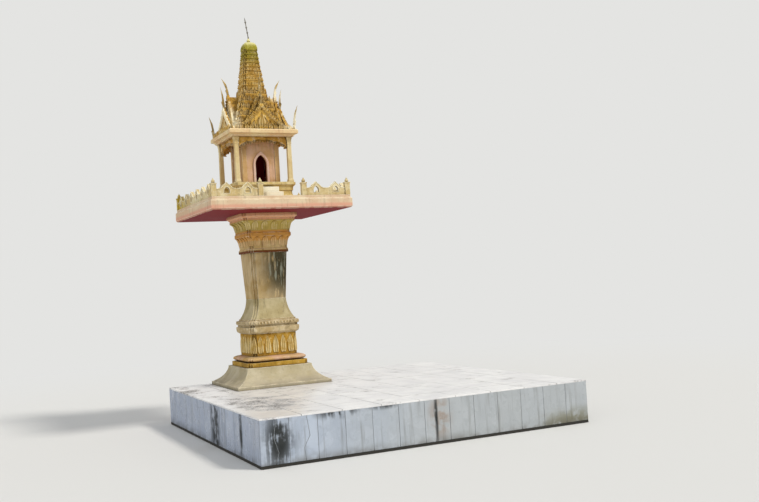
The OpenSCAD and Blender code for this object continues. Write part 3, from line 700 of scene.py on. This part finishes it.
# Cornice. A stepped moulding of cast concrete, bedded on the drum and painted cream, with a row
# of small knobs on its band.
cornice_paint = old_paint("cornice_paint", "#cbb78e", "#b49a6a", "#5c482a", streaks=0.3, mottle=0.4)
casting("pedestal_cornice", "cream_paint", cornice_paint)
knob_rows = [(-0.5, 0.22, 0.3), (-0.28, 0.44, 0.85), (0, 0.5, 1), (0.28, 0.44, 0.85), (0.5, 0.22, 0.3)]
swell = ((-1, 0.1), (-0.5, 0.8), (0, 1), (0.5, 0.8), (1, 0.1))
knob = relief("knob", [(0, [(a * half, d * out, z) for a, d in swell]) for z, half, out in knob_rows])
low, high, middle, half = measure("pedestal_cornice")
row_round("cornice_knobs", "cream_paint", middle, half - 0.0025, low.z + (high.z - low.z) * 0.74,
    0.030, (0.024, 0.008, 0.024), Ornament=knob, Unevenness=0.05, Seed=5, Finish=cornice_paint)

# Neck. A hollow slope of cast concrete that draws the pedestal in, bedded on the cornice. Its
# cream paint has gone grey.
casting("pedestal_neck", "cream_paint", old_paint("neck_paint", "#bfb18a", "#a8986c", "#544a30",
    streaks=0.6))


# Shaft. One tall casting in cream that widens upwards, with stepped corners. Rain from the
# terrace has fed a dark moss down the right half of its front, and washed pale streaks in it.
def mossy(finish):
    low, high, middle, half = measure("pedestal_shaft")
    grain = finish.noise(30, 6, stretch=(1, 1, 0.25), shift=2.0)
    right = finish.patch((middle.x + 0.105, low.y, high.z - 0.13), (0.25, 0.3, 0.46))
    right = right * (grain + 0.5).between(0.80, 0.97)
    finish.over(right * 0.92, "#2f301f")
    pale = finish.noise(40, stretch=(1, 1, 0.08), shift=6.0).between(0.56, 0.64)
    finish.over(pale * right * 0.6, "#b9bba4")


casting("pedestal_shaft", "cream_paint", old_paint("shaft_paint", "#c8b084", "#b1945f", "#564526",
    streaks=0.6, extra=mossy), 0.002)

# Capital. One casting that flares to carry the terrace, painted in bands of cream, tan and ochre
# that end in pink. Two rows of lotus petals stand on its two hollow curves.
capital_low, capital_high, capital_middle, capital_half = measure("pedestal_capital")
capital_h = capital_high.z - capital_low.z


def capital_bands(finish):
    wave = (finish.z - capital_low.z) * (1 / capital_h) + finish.noise(12, 3) * 0.03
    for start, end, code in ((0.30, 0.34, "#cd964a"), (0.56, 0.60, "#c3ab58"), (0.83, 0.86, "#e2aa80"),
            (0.09, 0.06, "#6e3e1c")):
        finish.over(wave.between(start, end), code)


casting("pedestal_capital", "ochre_paint", old_paint("capital_paint", "#d6bd88", "#c4a468", "#6c461c",
    extra=capital_bands, streaks=0.5))
levels = {}
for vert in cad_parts["pedestal_capital"].data.vertices:
    x, y, z = vert.co - capital_middle
    level = round(vert.co.z, 4)
    levels[level] = max(levels.get(level, 0), abs(x), abs(y))
profile = sorted(levels.items())


def half_at(z):
    """The capital's half width at a level."""
    for (low, a), (high, b) in zip(profile, profile[1:]):
        if low <= z <= high:
            return a + (b - a) * (z - low) / (high - low)
    return profile[-1][1]


def petal(name, low, high):
    """A lotus petal one unit wide that lies on the capital from one level to another, and whose
    tip stands proud."""
    rows = []
    for share, half in ((0, 0.40), (0.18, 0.47), (0.4, 0.5), (0.6, 0.48), (0.78, 0.38), (0.92, 0.18), (1, 0)):
        z = low + share * (high - low)
        surface = half_at(z) - half_at(low)
        out = 0.008 * (0.7 + 0.9 * share ** 3)
        points = [(a * half, surface + out * d, z - low) for a, d in zip(across, carving)]
        rows.append((surface - 0.002, points if half else [(0, surface + out * 0.7, z - low)]))
    return relief(name, rows)


petal_paint = old_paint("petal_paint", "#d2b486", "#c29f68", "#6a4016", pale_tone="#f0d09a", reach=0.03,
    streaks=0.5, extra=capital_bands)
high_petal_paint = old_paint("high_petal_paint", "#ccb568", "#b9a04e", "#6a5218", pale_tone="#ecdcaa", reach=0.03)
for label, foot, tip, wide, finish in (("low", 0.17, 0.415, 0.062, petal_paint),
        ("high", 0.585, 0.80, 0.070, high_petal_paint)):
    low, high = (capital_low.z + share * capital_h for share in (foot, tip))
    shape = petal(f"{label}_petal", low, high)
    settings = {"Ornament": shape, "Unevenness": 0.02, "Seed": 8, "Finish": finish}
    row_round(f"capital_{label}_petals", "ochre_paint", capital_middle, half_at(low), low, wide,
        (wide - 0.005, 1, 1), **settings)
    at_corners(f"capital_{label}_corner_petals", "ochre_paint", capital_middle, half_at(low), low,
        (wide * 0.8, 1, 1), **settings)


# Terrace slab. One cast slab on the capital: cream on its edge, pink along its lower arris, and
# painted maroon underneath.
def terrace_bands(finish):
    finish.over(finish.z.between(1.925, 1.90) * 0.8, "#dc9f86")
    finish.over((finish.up * -1).between(0.6, 0.9), "#7e0c18")


casting("terrace_slab", "pink_cream_paint", old_paint("terrace_paint", "#e0caa8", "#d6b694", "#7f5d44",
    extra=terrace_bands, streaks=0.35), 0.003)


# Balustrade. Five cast panels of pointed arches stand between square posts with turned buds. A
# thin rounded rim runs round every arch and every opening, on both faces.
def arch_lines(nodes):
    """The edges round the arches and openings of panels, on both faces of each."""
    lines = bmesh.new()
    margin = 0.004
    for node in nodes:
        low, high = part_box(node)
        thin = 0 if high.x - low.x < high.y - low.y else 1
        bm = merged(node)
        for edge in bm.edges:
            flat = [abs(face.normal[thin]) > 0.9 for face in edge.link_faces]
            middle = (edge.verts[0].co + edge.verts[1].co) / 2
            inside = low[1 - thin] + margin < middle[1 - thin] < high[1 - thin] - margin
            if any(flat) and not all(flat) and inside and middle.z > low.z + margin:
                lines.edges.new([lines.verts.new(vert.co) for vert in edge.verts])
        bm.free()
    bmesh.ops.remove_doubles(lines, verts=lines.verts, dist=1e-5)
    return to_mesh(lines, "path")


def gilded_corner(finish):
    corner = finish.patch((-1.13, 1.45, 2.03), (0.16, 0.36, 0.2)) * finish.noise(18).between(0.35, 0.5)
    finish.over(corner, "#bda23a")


bead = Tree("bead_along_a_line", Radius="Float", Sides="Int")
path = bead.node("GeometryNodeMeshToCurve", {0: bead.given["Geometry"]})
section = bead.node("GeometryNodeCurvePrimitiveCircle",
    {"Resolution": bead.given["Sides"], "Radius": bead.given["Radius"]})
inputs = {"Curve": path, "Profile Curve": section, "Fill Caps": True}
bead.close(bead.node("GeometryNodeCurveToMesh", inputs))
rail_paint = old_paint("rail_paint", "#e0d0a4", "#ccb27a", "#5a4520", pale_tone="#f8f0d8", mottle=0.3,
    coat=gilded_corner)
rim_paint = old_paint("rim_paint", "#f6eed4", "#e8d8ac", "#6a5226", pale_tone="#fffbee", reach=0.02, hollow=0.5)
panels = [f"balustrade_{part}" for part in ("left", "right", "back", "front_left", "front_right")]
for node in panels:
    casting(node, "cream_paint", rail_paint, 0)
rims = bead.grow("balustrade_rims", arch_lines(panels), smooth=60, Radius=0.0034, Sides=6, Finish=rim_paint)
fix(rims, "cream_paint")
casting("balustrade_posts", "cream_paint", rail_paint)
casting("gate_posts", "cream_paint", rail_paint)

# Entrance steps. Two broad treads cast in one and bedded on the terrace between the gate and
# the door, whiter than the rest.
casting("entrance_steps", "cream_paint", old_paint("step_paint", "#f4ecd6", "#eadfc0", "#8a7a58",
    dust="#b5a98e"), 0.004)

# House base. A moulded plinth cast with stepped corners, bedded on the terrace. Its top is the
# floor, maroon inside the chamber.
room_low, room_high, room_middle, room_half = measure("chamber_pilasters")
room_reach = room_half - 0.022


def chamber_inside(finish):
    x = abs(finish.x - room_middle.x).between(room_reach + 0.001, room_reach - 0.001)
    y = abs(finish.y - room_middle.y).between(room_reach + 0.001, room_reach - 0.001)
    finish.over(x * y * finish.z.between(room_low.z - 0.005, room_low.z - 0.001), "#8e1a20")


casting("house_base", "cream_paint", old_paint("base_paint", "#dcc88e", "#c4a252", "#6a4e1a", reach=0.07,
    hollow=0.95, mottle=0.3, extra=chamber_inside))

# Chamber. Four square cast pilasters with wall panels between them, in a lilac pink, and a
# pointed doorway through the front with a raised frame. Inside it is dark maroon.
casting("chamber_pilasters", "cream_paint", old_paint("pilaster_paint", "#d0ac78", "#b98e58", "#684526",
    streaks=0.7, extra=chamber_inside), 0.003)
wall_paint = old_paint("wall_paint", "#dab496", "#caa070", "#704828", streaks=0.6, extra=chamber_inside)
# The left wall takes a darker, browner copy of the wall paint as painted shade, with stronger rain streaks.
dark_wall_paint = old_paint("dark_wall_paint", "#c39c78", "#ae845c", "#5c3c22", streaks=0.75,
    extra=chamber_inside)
sides = ("front", "back", "left", "right")
for side in sides:
    casting(f"{side}_wall", "pink_cream_paint", dark_wall_paint if side == "left" else wall_paint)
casting("door_frame", "gold_paint", old_paint("door_frame_paint", "#e4c8bc", "#d6b09a", "#7c4a30",
    reach=0.03), 0.002)

# Porch columns. Four slender cast shafts in pale cream, with moulded feet and flared heads. They
# stand on the base and carry the eave's corners.
casting("porch_columns", "cream_paint", old_paint("column_paint", "#e0cc9a", "#ceb27a", "#735a2c",
    extra=chamber_inside))


# Fringes. Cusped cast plates hang under the eave between the columns, in golden brown, with a
# row of small leaves that point down from their edge.
def four_ways(piece, keep=range(4)):
    """Repeats a piece for the other sides of the house, turned about its axis."""
    bm = bmesh.new()
    shift = Matrix.Translation((house_middle.x, house_middle.y, 0))
    for k in keep:
        start = len(bm.verts)
        bm.from_mesh(piece.data)
        bm.verts.ensure_lookup_table()
        spin = shift @ about("Z", 90 * k) @ shift.inverted()
        for vert in bm.verts[start:]:
            vert.co = spin @ vert.co
    bm.to_mesh(piece.data)
    bm.free()
    return piece


eave_low, eave_high, house_middle, eave_half = measure("eave_slab")
fringe_paint = old_paint("fringe_paint", "#cfa04a", "#b68532", "#5e4314", reach=0.04, hollow=0.75, mottle=0.5)
for side in sides:
    casting(f"{side}_fringe", "ochre_paint", fringe_paint, 0.002)
drop_outline = [(0, 0.40), (0.2, 0.48), (0.4, 0.5), (0.62, 0.38), (0.82, 0.18), (1, 0)]
drop = relief("fringe_leaf", [(-0.5, [(x, out - 0.5, -z) for x, out, z in points])
    for behind, points in leaf_rows(drop_outline)])
low, high, middle, half = measure("front_fringe")
lower = {round(vert.co.x, 4): vert.co.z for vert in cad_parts["front_fringe"].data.vertices
    if vert.co.z < high.z - 0.001}
edge = [Vector((x, middle.y, z + 0.003)) for x, z in sorted(lower.items())]
sloping_row = row_tree("ornaments_along_a_slope", "Y")
hanging = sloping_row.grow("fringe_leaves", path_mesh(edge), Ornament=drop, Size=(0.026, 0.012, 0.030),
    Pitch=0.026, Unevenness=0.08, Seed=2, Finish=fringe_paint)
fix(four_ways(hanging), "ochre_paint")

# Eave. A moulded cast slab on the columns, pale pinkish cream. A row of small upright leaves runs
# round its upper edge, and a tall horn stands on each corner.
casting("eave_slab", "cream_paint", old_paint("eave_paint", "#ead4a2", "#e0bc8c", "#8a6238", streaks=0.3))


def pale_coat_and_sunlight(finish):
    """Pale cream spots, partly a lighter coat and partly painted sunlight: the left low roof's front slope,
    and the right gables.
    """
    spots = (((-0.235, -0.15, 0.10), (0.075, 0.28, 0.26)), ((0.30, -0.30, 0.05), (0.15, 0.15, 0.15)),
        ((0.23, 0, 0.38), (0.10, 0.10, 0.10)))
    coat = sum(finish.patch(roof_foot + Vector(spot), size) for spot, size in spots)
    finish.over(coat * finish.noise(24, 5).between(0.36, 0.46) * 0.92, "#fff4d2")


roof_foot = Vector((house_middle.x, house_middle.y, eave_high.z))
gold_paint = old_paint("gold_paint", "#deb356", "#ca9a42", "#674b1a", pale_tone="#f2e0ac", hollow=0.85,
    mottle=0.7, coat=pale_coat_and_sunlight)
leaf_outline = [(0, 0.36), (0.14, 0.44), (0.32, 0.5), (0.52, 0.41), (0.7, 0.25), (0.86, 0.1), (1, 0)]
leaf = relief("leaf", leaf_rows(leaf_outline))
row_round("eave_leaves", "gold_paint", house_middle, eave_half - 0.019, eave_high.z - 0.001, 0.044,
    (0.039, 0.010, 0.046), 0.030, Ornament=leaf, Unevenness=0.07, Seed=4, Finish=gold_paint)


def islands(bm):
    """The loose parts of a mesh, each as a list of its vertices."""
    seen = set()
    for start in bm.verts:
        if start not in seen:
            seen.add(start)
            part = [start]
            for vert in part:
                near = [v for edge in vert.link_edges for v in edge.verts if v not in seen]
                seen.update(near)
                part += near
            yield part


def outward(part):
    """The middle of a part's corners, and the level direction to it from the house's axis."""
    middle = sum((v.co for v in part), Vector()) / len(part)
    return middle, Vector((middle.x - house_middle.x, middle.y - house_middle.y, 0))


def slim(bm):
    """Thins each horn from its foot to its tip."""
    for part in islands(bm):
        low, high = min(v.co.z for v in part), max(v.co.z for v in part)
        middle, out = outward(part)
        sideways = Vector((-out.y, out.x, 0)).normalized()
        for vert in part:
            share = (vert.co.z - low) / (high - low)
            vert.co -= sideways * sideways.dot(vert.co - middle) * 0.7 * share


horn_paint = old_paint("horn_paint", "#b99a5c", "#9c7f48", "#4c3a1c", pale_tone="#e8dcb8", reach=0.04, mottle=0.5,
    coat=pale_coat_and_sunlight)
casting("eave_corner_horns", "gold_paint", horn_paint, shape=slim)

# Tiered roof. Two crossing roof arms run through a stack of square tiers, in one dull gold
# casting. Carved leaves stand close together on every ledge.
roof_paint = old_paint("roof_paint", "#d2a64c", "#bb8e3a", "#624818", pale_tone="#e2c88c", reach=0.06, hollow=0.88,
    mottle=0.7, coat=pale_coat_and_sunlight)
casting("tiered_roof", "ochre_paint", roof_paint)


def leaves_of(node, name, finish):
    """A carved leaf in the place of each solid of a node, as large and turned the same way."""
    bm = merged(node)
    places = []
    for part in islands(bm):
        middle, out = outward(part)
        faces = {face for vert in part for face in vert.link_faces}
        fronts = [face for face in faces if face.normal.dot(out) > 0]
        looks = max(fronts, key=lambda face: (round(face.calc_area(), 9), face.index)).normal
        turn = math.atan2(looks.x, -looks.y)
        spin = Matrix.Rotation(-turn, 3, "Z")
        flat = [spin @ vert.co for vert in part]
        low, high = (Vector([most(p[i] for p in flat) for i in range(3)]) for most in (min, max))
        place = spin.inverted() @ Vector(((low.x + high.x) / 2, high.y, low.z))
        places.append((place, turn, high - low))
    bm.free()
    fix(at_marks.grow(name, marks(places), Ornament=leaf, Finish=finish), "gold_paint", node)


leaves_of("tier_antefixes", "tier_leaves", gold_paint)


# Gables. Four low and four high ones close the roof arms, each a cast panel inside a toothed bargeboard.
# Flame leaves fill the panels, and small ones run up the bargeboards. The left low gable's bargeboard has
# been painted again in cream, and its near white also holds painted sunlight.
def cream_coat_and_sunlight(finish):
    left_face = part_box("left_lower_gable")[0].x
    board = finish.x.between(left_face + 0.0095, left_face + 0.0075)
    # The near-white board: a cream coat, with painted sunlight on it.
    finish.over(board * finish.noise(14).between(0.72, 0.62) * 0.92, "#fff4d2")


cream_gable_paint = old_paint("cream_gable_paint", "#d2a64a", "#bd8c36", "#5a4012", pale_tone="#f2e0ac",
    hollow=0.85, mottle=0.6, coat=cream_coat_and_sunlight)
for side in sides:
    casting(f"{side}_lower_gable", "gold_paint", cream_gable_paint if side == "left" else gold_paint, 0.002)
    casting(f"{side}_upper_gable", "gold_paint", gold_paint, 0.002)
flame_outline = [(0, 0.30), (0.12, 0.42), (0.3, 0.46), (0.5, 0.38), (0.68, 0.25), (0.85, 0.11), (1, 0)]
upright_flame, left_flame, right_flame = (
    relief(f"{way}_flame", leaf_rows(flame_outline, bend=bend))
    for way, bend in (("upright", 0), ("left", -0.5), ("right", 0.5)))
# Flames of a panel in mm: out from the middle line, up from the eave, width and height. The
# last four of the low panel stand out less
panel_flames = {
    "lower": [(0, 8, 78, 150), (52, 4, 52, 112), (92, 4, 44, 84), (128, 3, 38, 60), (160, 3, 32, 40),
        (187, 2, 26, 22), (27, 2, 40, 62), (73, 2, 34, 48), (111, 2, 30, 36), (145, 2, 26, 26)],
    "upper": [(0, 226, 46, 74), (33, 196, 34, 66), (60, 162, 32, 58), (84, 128, 30, 50), (106, 96, 28, 40)],
}
# A bargeboard's middle line, by half width, rise and start, and its paints with their sides
for level, half, rise, foot, boards in (
        ("lower", 0.222, 0.200, 0.0, (("gold", gold_paint, (0, 1, 2)), ("cream", cream_gable_paint, (3,)))),
        ("upper", 0.168, 0.320, 0.066, (("gold", gold_paint, (0, 1, 2, 3)),))):
    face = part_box(f"front_{level}_gable")[0].y
    panel = face + 0.0105
    places = {upright_flame: [], left_flame: [], right_flame: []}
    for k, (x, z, wide, high) in enumerate(panel_flames[level]):
        deep = 0.0095 if level == "upper" or k < 6 else 0.0075
        for way, shape in ((1, left_flame), (-1, right_flame)) if x else ((0, upright_flame),):
            spot = (roof_foot.x + way * x / 1000, panel, roof_foot.z + z / 1000)
            places[shape].append((spot, 0.0, (wide / 1000, deep, high / 1000)))
    for shape, spots in places.items():
        name = f"{level}_gable_{shape.name}s"
        flames = at_marks.grow(name, marks(spots), Ornament=shape, Finish=gold_paint)
        fix(four_ways(flames), "gold_paint")
    steps = [k / 16 for k in range(17)]
    sag = [(half * (1 - t) * (1 - 0.12 * t), rise * t * (0.72 + 0.28 * t)) for t in steps]
    right = [(x, z) for x, z in sag if z >= foot]
    line = [(-x, z) for x, z in right] + right[-2::-1]
    for label, finish, keep in boards:
        path = path_mesh([(roof_foot.x + x, face + 0.001, roof_foot.z + z) for x, z in line])
        row = sloping_row.grow(f"{level}_bargeboard_{label}_leaves", path, Ornament=upright_flame,
            Size=(0.026, 0.007, 0.036), Pitch=0.026, Unevenness=0.06, Seed=6, Finish=finish)
        fix(four_ways(row, keep), "gold_paint")
casting("gable_horns", "gold_paint", horn_paint, shape=slim)


# Spire. A curved skirt rises from the top tier into the shaft of the prang, both cast in small
# steps with carved leaves on each, under a rounded cap gone olive.
def greener(finish):
    """The paint has gone olive towards the top."""
    high = (finish.z + finish.noise(9) * 0.08).between(prang_top - 0.17, prang_top + 0.01)
    finish.over(high * 0.9, "#958a24")


def cap_top_highlight(finish):
    # The top of the cap is painted paler, as a painted highlight.
    high = (finish.z + finish.noise(14) * 0.02).between(prang_top + 0.035, prang_top + 0.075)
    finish.over(high, "#dcd494")


prang_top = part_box("prang_shaft")[1].z
casting("spire_skirt", "ochre_paint", roof_paint, 0.001)
casting("prang_shaft", "ochre_paint", old_paint("prang_paint", "#cea24a", "#b88c3a", "#624818",
    pale_tone="#e2c88c", hollow=0.85, mottle=0.5, extra=greener), 0.001)
prang_leaf_paint = old_paint("prang_leaf_paint", "#deb458", "#c99a44", "#674b1a", pale_tone="#f0dca6", reach=0.03,
    hollow=0.7, mottle=0.5, extra=greener)
leaves_of("prang_antefixes", "prang_leaves", prang_leaf_paint)
casting("prang_cap", "gold_paint", old_paint("cap_paint", "#a0952c", "#8a8024", "#4c4412", pale_tone="#dcd584",
    mottle=0.3, extra=cap_top_highlight), 0.001)

# Lotus bud and finial. A round cast bud in pale yellow holds a thin gilded rod with three beads,
# bent over to the left.
casting("lotus_bud", "cream_paint", old_paint("bud_paint", "#efe6a8", "#e2d488", "#8a7a3c", reach=0.03), 0)
casting("metal_finial", "finial_metal", old_paint("rod_paint", "#8f8a80", "#777066", "#3c382f",
    rough=0.5), 0)


# Studio floor and lamps. The backdrop shows plainly, straight on, in gloss or through glass, and
# lights nothing.
def plainly(nodes):
    rays = nodes.node("ShaderNodeLightPath").outputs
    return sum(Amount(nodes, rays[f"Is {kind} Ray"]) for kind in ("Camera", "Glossy", "Transmission"))


floor_reach = 14.0
floor_drop = 0.0005
backdrop = paint("#e4e4e2")
floor_look = Finish("studio_floor", "#dcdbd8", Roughness=0.9)
far = floor_look.distance(floor_look.place).between(3.2, 9.0)
plain = floor_look.node("ShaderNodeEmission", {"Color": backdrop})
inputs = {0: far * plainly(floor_look), 1: floor_look.shader, 2: plain}
floor_look.join(floor_look.surface, {"Surface": floor_look.node("ShaderNodeMixShader", inputs)})
bm = bmesh.new()
bmesh.ops.create_circle(bm, cap_ends=True, segments=96, radius=floor_reach)
floor = keep_mesh(bm, "studio_floor", floor_look.material)
floor.data.transform(Matrix.Translation((0, 0, -floor_drop)))

world = bpy.data.worlds.new("studio")
bpy.context.scene.world = world
world.use_nodes = True
world.node_tree.nodes.clear()
sky = Nodes(world.node_tree)
light = sky.node("ShaderNodeBackground", {"Color": (0.94, 0.97, 1.0, 1.0), "Strength": 0.55})
plain = sky.node("ShaderNodeBackground", {"Color": backdrop, "Strength": 1.0})
blend = sky.node("ShaderNodeMixShader", {0: plainly(sky), 1: light, 2: plain})
sky.node("ShaderNodeOutputWorld", {"Surface": blend})

for name, towards, strength, spread, colour in (
        ("key", (-0.50, 0.55, -0.78), 2.1, 12, (1.0, 0.97, 0.91)),
        ("fill", (0.70, 0.45, -0.35), 0.55, 60, (0.93, 0.96, 1.0))):
    light = bpy.data.lights.new(name, "SUN")
    light.energy = strength
    light.angle = math.radians(spread)
    light.color = colour
    lamp = set_out(name, light)
    lamp.rotation_mode = "QUATERNION"
    lamp.rotation_quaternion = Vector(towards).to_track_quat("-Z", "Y")

# The camera stands where the photograph was taken, at eye height in front and to the left of
# the plinth, tilted a little to one side, and looks at the middle of the object.
eye = (-3.204, -7.275, 1.195)
turn_right, look_up, roll = 25.4, 1.9, -3.38
enlarged = 2.75
photo_focal = 337.0
frame_width = 759.0
view = bpy.data.cameras.new("view")
view.sensor_width = 36.0
view.lens = photo_focal * enlarged / frame_width * view.sensor_width
camera = set_out("view", view)
turned = about("Z", -turn_right) @ about("X", 90 + look_up) @ about("Z", roll)
camera.matrix_world = Matrix.Translation(eye) @ turned
bpy.context.scene.camera = camera
bpy.context.scene.view_settings.view_transform = "Standard"
